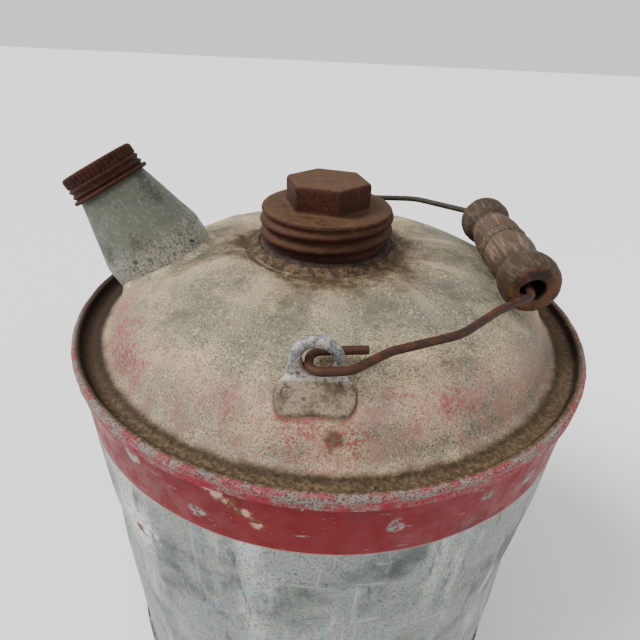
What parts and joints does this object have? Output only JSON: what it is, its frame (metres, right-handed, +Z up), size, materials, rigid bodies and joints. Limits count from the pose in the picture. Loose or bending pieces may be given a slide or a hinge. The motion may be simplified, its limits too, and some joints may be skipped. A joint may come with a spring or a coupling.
{
  "type": "gas can",
  "caption": "Round sheet-metal fuel can with a domed top, screw filler cap, leaning capped pouring spout and a swinging wire bail with a wooden grip.",
  "frame": {"origin": "on the can's axis, in the plane of the floor that the bottom rim stands on", "axes": "+Z up along the can's axis, -X the side that the spout leans toward, the bail's ears at -Y and +Y, and the bail at rest over toward +X"},
  "size_m": [0.242, 0.24, 0.2871],
  "materials": {
    "galvanised_wall": "weathered galvanised sheet with a worn red painted band under the top rim",
    "galvanised_dome": "dusty galvanised sheet, stained brown in the gutter and round the fittings",
    "rusted_steel": "dark rust with tan dust on the edges",
    "spout_sheet": "dull dark galvanised sheet",
    "solder": "grey solder",
    "ear_zinc": "bright zinc, dirty at the foot",
    "bail_steel": "rusted wire",
    "grip_wood": "weathered grey-brown turned wood",
    "seal_cork": "pressed cork and rubber"
  },
  "bodies": {
    "can": {"body_shell": "galvanised_wall", "bottom_pan": "galvanised_wall", "top_dome": "galvanised_dome", "filler_flange": "rusted_steel", "filler_neck": "rusted_steel", "spout_body": "spout_sheet", "spout_solder": "solder", "spout_thread_ring": "spout_sheet", "ear_front": "ear_zinc", "ear_rear": "ear_zinc"},
    "filler_seal": {"filler_gasket": "seal_cork"},
    "filler_cap": {"filler_cap": "rusted_steel"},
    "spout_seal": {"spout_gasket": "seal_cork"},
    "spout_cap": {"spout_cap": "rusted_steel"},
    "bail": {"bail_wire": "bail_steel"},
    "grip": {"bail_grip": "grip_wood"}
  },
  "joints": [
    {"name": "bail_swing", "type": "hinge", "parent": "can", "child": "bail", "pos_m": [-0.0056, 0, 0.24038], "axis": [0, -1, 0], "range_deg": [0, 138]},
    {"name": "grip_spin", "type": "hinge", "parent": "bail", "child": "grip", "pos_m": [0.08043, 0, 0.24942], "axis": [0, 1, 0], "continuous": true},
    {"name": "filler_cap_lift", "type": "slide", "parent": "can", "child": "filler_seal", "axis": [0, 0, 1], "range_m": [0, 0.06]},
    {"name": "filler_cap_turn", "type": "hinge", "parent": "filler_seal", "child": "filler_cap", "pos_m": [-0.0035, 0, 0.2647], "axis": [0, 0, 1], "range_deg": [0, 3600]},
    {"name": "spout_cap_lift", "type": "slide", "parent": "can", "child": "spout_seal", "axis": [-0.4924, 0, 0.8704], "range_m": [0, 0.05]},
    {"name": "spout_cap_turn", "type": "hinge", "parent": "spout_seal", "child": "spout_cap", "pos_m": [-0.1066, 0, 0.27744], "axis": [-0.4924, 0, 0.8704], "range_deg": [0, 5400]}
  ],
  "couplings": [
    {"joint": "filler_cap_lift", "follows": "filler_cap_turn", "m_per_rad": 0.00093901},
    {"joint": "spout_cap_lift", "follows": "spout_cap_turn", "m_per_rad": 0.0005093}
  ]
}
